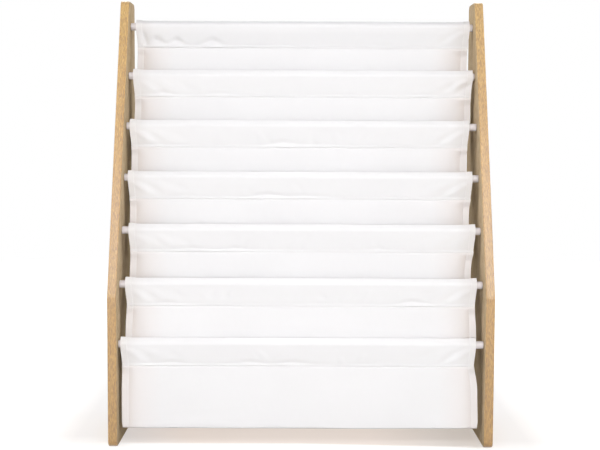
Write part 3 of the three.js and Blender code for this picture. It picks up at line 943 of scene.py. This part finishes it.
class SHELF_OT_stage(ShelfOperator, bpy.types.Operator):
    """Lay a white floor and hang the lamps"""
    bl_idname = "shelf.stage"
    bl_label = "Stage"

    def execute(self, context):
        studio = context.scene.shelf_studio
        context.scene.view_settings.view_transform = "Standard"
        self.sky(context, studio)
        self.floor(context)
        aim = Vector((0, 0, 0.36))
        self.lamp(context, "key_lamp", (0.12, -2.25, 1.85), aim, (2.0, 0.55), studio.key)
        self.lamp(context, "fill_lamp", (0, -2.6, 0.55), aim, (1.0, 0.7), studio.fill)
        self.lamp(context, "back_lamp", (0, 1.9, 2.4), aim, (1.8, 1.2), studio.back)
        for name, side in SIDES.items():
            self.lamp(context, f"{name}_lamp", (side * 2.5, 0.1, 1.1), aim, (0.9, 1.4), studio.side)
            self.lamp(context, f"front_{name}_lamp", (side * 2.2, -1.6, 1.2), aim, (0.8, 1.0), studio.front)
        return {"FINISHED"}

    def seen_directly(self, n):
        """1 for rays from the camera, from a reflection or through glass, and 0 for those that light."""
        path = n.add("ShaderNodeLightPath").outputs
        seen = n.math("MAXIMUM", path["Is Camera Ray"], path["Is Glossy Ray"])
        return n.math("MAXIMUM", seen, path["Is Transmission Ray"])

    def sky(self, context, studio):
        world = bpy.data.worlds.new("studio_sky")
        context.scene.world = world
        world.use_nodes = True
        n = Nodes(world.node_tree)
        n.tree.nodes.clear()
        height = n.split(n.add("ShaderNodeTexCoord").outputs["Generated"])[2]
        even = n.span(height, 0.0, 0.7, studio.sky * 0.7, studio.sky * 1.3)
        strength = n.math("MAXIMUM", self.seen_directly(n), even)
        light = n.add("ShaderNodeBackground", {"Color": (1, 1, 1, 1), "Strength": strength})
        n.add("ShaderNodeOutputWorld", {"Surface": light.outputs[0]})

    def floor(self, context):
        shape = bmesh.new()
        bmesh.ops.create_circle(shape, cap_ends=True, radius=3.0, segments=64)
        mesh = bpy.data.meshes.new("floor")
        shape.to_mesh(mesh)
        shape.free()
        floor = bpy.data.objects.new("floor", mesh)
        context.scene.collection.objects.link(floor)
        material, shader = new_material("white_floor")
        n = Nodes(material.node_tree)
        tint = n.noise(n.object_place(), 3.0)
        n.put(shader.inputs["Base Color"], n.mix(tint, (0.45, 0.44, 0.43), (0.47, 0.46, 0.45)))
        set_numbers(shader, {"Roughness": 0.9, "Specular IOR Level": 0.1})
        n.put(shader.inputs["Emission Color"], self.floor_glow_with_painted_shadow(n))
        n.put(shader.inputs["Emission Strength"], self.seen_directly(n))
        mesh.materials.append(material)

    def floor_glow_with_painted_shadow(self, n):
        """What lifts the floor towards white: most in front and far off, less and warmer below the shelf,
        and least beside the right foot. Where it lifts less, it is painted shadow of the shelf."""
        front_colour, far_colour = (0.74, 0.74, 0.74), (0.72, 0.72, 0.72)
        painted_shadow_below, painted_shade_round = (0.51, 0.43, 0.38), (0.45, 0.445, 0.455)
        painted_shadow_by_right_foot = (0.375, 0.33, 0.295)
        place = n.object_place()
        split = n.split(place)
        away = n.add("ShaderNodeVectorMath", {0: place}, operation="LENGTH").outputs["Value"]
        to_side = n.math("ABSOLUTE", split[0])
        right = n.math("MAXIMUM", split[0], 0.0)
        forward = n.math("MULTIPLY_ADD", right, 0.07, split[1])
        middle = n.mix(n.span(away, 0.2, 0.36), painted_shadow_below, painted_shade_round)
        by_right_foot = n.math("MULTIPLY", n.span(right, 0.12, 0.26), n.span(right, 0.29, 0.32, 1.0, 0.0))
        beside = n.mix(by_right_foot, middle, painted_shadow_by_right_foot)
        far = n.math("MAXIMUM", n.span(to_side, 0.38, 0.48), n.span(away, 0.5, 1.0))
        behind_feet = n.mix(far, beside, far_colour)
        # The sharp front edge of the painted shadow below the shelf
        under = n.span(forward, -0.105, -0.089)
        front_edge = n.mix(n.span(away, 0.28, 0.36), under, n.span(forward, -0.2, -0.05))
        return n.mix(front_edge, front_colour, behind_feet)

    def lamp(self, context, name, place, aim, size, power):
        data = bpy.data.lights.new(name, "AREA")
        data.shape = "RECTANGLE"
        data.size, data.size_y = size
        data.energy = power
        lamp = bpy.data.objects.new(name, data)
        context.scene.collection.objects.link(lamp)
        lamp.location = place
        lamp.rotation_euler = (aim - Vector(place)).to_track_quat("-Z", "Y").to_euler()


class SHELF_OT_boards(ShelfOperator, bpy.types.Operator):
    """Give the side panels their oak-look laminate"""
    bl_idname = "shelf.boards"
    bl_label = "Side panels"

    def execute(self, context):
        board = context.scene.shelf_board
        edge = oak_material(
            board, "oak_edge_band", board.edge_pale, board.edge_dark, along_y=0.15, flecks=1,
            roughness=0.38, gloss=0.9, painted_light=True)
        face = oak_material(
            board, "oak_face_foil", board.face_pale, board.face_dark, along_y=1, flecks=0.4,
            roughness=0.8, gloss=0.0, painted_light=False)
        for side in SIDES:
            mesh = dress_node(f"side_panel_{side}", edge)
            mesh.materials.append(face)
            for polygon in mesh.polygons:
                polygon.material_index = int(abs(polygon.normal.x) > 0.9)
        return {"FINISHED"}


class SHELF_OT_tubes(ShelfOperator, bpy.types.Operator):
    """Turn the seven coated tubes"""
    bl_idname = "shelf.tubes"
    bl_label = "Tubes"

    def execute(self, context):
        metal = context.scene.shelf_metal
        material = made_once("powder_coat", coat_material, metal)
        wall, round_off = 1.2 * MM, 0.3 * MM
        bore = TUBE_RADIUS - wall
        for tube in TUBES:
            low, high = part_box(f"rod_{tube}")
            profile = [
                (low.x, bore), (low.x, TUBE_RADIUS - round_off), (low.x + round_off, TUBE_RADIUS),
                (high.x - round_off, TUBE_RADIUS), (high.x, TUBE_RADIUS - round_off), (high.x, bore),
                (low.x, bore)]
            shape = turned(profile, (0, *TUBE_AXIS[tube]), metal.sides)
            piece = new_piece(f"coated_tube_{tube}", shape, material)
            sharpen(piece)
            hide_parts(f"rod_{tube}")
        return {"FINISHED"}


class SHELF_OT_screws(ShelfOperator, bpy.types.Operator):
    """Turn the screws, with six-sided sockets in their heads"""
    bl_idname = "shelf.screws"
    bl_label = "Screws"

    def execute(self, context):
        metal = context.scene.shelf_metal
        material = made_once("bright_zinc", zinc_material, metal)
        for tube in TUBES:
            for side, sign in SIDES.items():
                self.screw(f"bolt_{tube}_{side}", sign, metal, material)
        return {"FINISHED"}

    def screw(self, node, sign, metal, material):
        low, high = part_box(node)
        centre = Vector((0, (low.y + high.y) / 2, (low.z + high.z) / 2))
        face = low.x if sign < 0 else high.x
        tip = high.x if sign < 0 else low.x
        inwards = -sign
        head, shank = (high.y - low.y) / 2, 3.0 * MM
        height, bevel = 2.6 * MM, 0.6 * MM
        socket, socket_depth = 2.0 * MM, 2.0 * MM
        socket_rim, tip_bevel = socket * 1.35, 0.8 * MM
        profile = [
            (face, socket_rim), (face, head - bevel), (face + inwards * bevel * 0.4, head - bevel * 0.35),
            (face + inwards * bevel, head), (face + inwards * height, head),
            (face + inwards * height, shank), (tip - inwards * tip_bevel, shank),
            (tip, shank - tip_bevel), (tip, 0.0)]
        shape = turned(profile, centre, metal.sides)
        rim = [e for e in shape.edges if e.is_boundary]
        made = bmesh.ops.extrude_edge_only(shape, edges=rim)["geom"]
        ring = [v for v in made if isinstance(v, bmesh.types.BMVert)]
        for vert in ring:
            angle = math.atan2(vert.co.z - centre.z, vert.co.y - centre.y)
            off = (angle % (math.pi / 3)) - math.pi / 6
            flat_off = socket / math.cos(off)
            vert.co.y = centre.y + flat_off * math.cos(angle)
            vert.co.z = centre.z + flat_off * math.sin(angle)
        inner = [e for e in made if isinstance(e, bmesh.types.BMEdge) and e.is_boundary]
        deep = bmesh.ops.extrude_edge_only(shape, edges=inner)["geom"]
        floor = [v for v in deep if isinstance(v, bmesh.types.BMVert)]
        bmesh.ops.translate(shape, verts=floor, vec=(inwards * socket_depth, 0, 0))
        last = [e for e in deep if isinstance(e, bmesh.types.BMEdge) and e.is_boundary]
        bmesh.ops.contextual_create(shape, geom=last)
        bmesh.ops.recalc_face_normals(shape, faces=shape.faces)
        piece = new_piece(node.replace("bolt", "screw"), shape, material)
        sharpen(piece)
        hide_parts(node)


class SHELF_OT_inserts(ShelfOperator, bpy.types.Operator):
    """Give the threaded inserts inside the tubes their zinc"""
    bl_idname = "shelf.inserts"
    bl_label = "Inserts"

    def execute(self, context):
        material = made_once("bright_zinc", zinc_material, context.scene.shelf_metal)
        for tube in TUBES:
            for side in SIDES:
                dress_node(f"rod_insert_{tube}_{side}", material)
        return {"FINISHED"}


class SHELF_OT_sleeves(ShelfOperator, bpy.types.Operator):
    """Sew the sleeves round the tubes"""
    bl_idname = "shelf.sleeves"
    bl_label = "Sleeves"

    def execute(self, context):
        cloth = context.scene.shelf_cloth
        material = cloth_material("sleeve_canvas", cloth, cloth.sleeve_hem_shade, fade=2.8)
        for tube in TUBES:
            make_sleeve(tube, cloth, material)
        return {"FINISHED"}


class SHELF_OT_pockets(ShelfOperator, bpy.types.Operator):
    """Hang the pockets between the sleeves"""
    bl_idname = "shelf.pockets"
    bl_label = "Pockets"

    def execute(self, context):
        cloth = context.scene.shelf_cloth
        material = cloth_material("pocket_canvas", cloth, cloth.pocket_hem_shade, fade=6.0)
        for pocket in POCKETS:
            make_pocket(pocket, cloth, material)
        return {"FINISHED"}


class SHELF_PT_panel(bpy.types.Panel):
    """Lists the shelf's pieces and what can be changed on them"""
    bl_idname = "SHELF_PT_panel"
    bl_label = "Sling bookshelf"
    bl_space_type = "VIEW_3D"
    bl_region_type = "UI"
    bl_category = "Bookshelf"

    def draw(self, context):
        for operator in OPERATORS:
            self.layout.operator(operator.bl_idname)
        for name, group in GROUPS.items():
            box = self.layout.box()
            for prop in group.__annotations__:
                box.prop(getattr(context.scene, name), prop)


OPERATORS = [
    SHELF_OT_camera, SHELF_OT_stage, SHELF_OT_boards, SHELF_OT_tubes, SHELF_OT_screws, SHELF_OT_inserts,
    SHELF_OT_sleeves, SHELF_OT_pockets,
]
GROUPS = {
    "shelf_cloth": ShelfCloth, "shelf_board": ShelfBoard, "shelf_metal": ShelfMetal,
    "shelf_studio": ShelfStudio,
}
CLASSES = [*GROUPS.values(), *OPERATORS, SHELF_PT_panel]


def register():
    for cls in CLASSES:
        bpy.utils.register_class(cls)
    for name, group in GROUPS.items():
        setattr(bpy.types.Scene, name, PointerProperty(type=group))


def unregister():
    for name in GROUPS:
        delattr(bpy.types.Scene, name)
    for cls in reversed(CLASSES):
        bpy.utils.unregister_class(cls)


def main():
    register()
    for operator in OPERATORS:
        space, name = operator.bl_idname.split(".")
        if getattr(getattr(bpy.ops, space), name)() != {"FINISHED"}:
            raise RuntimeError(f"{operator.bl_idname} didn't finish")


if __name__ == "__main__":
    main()
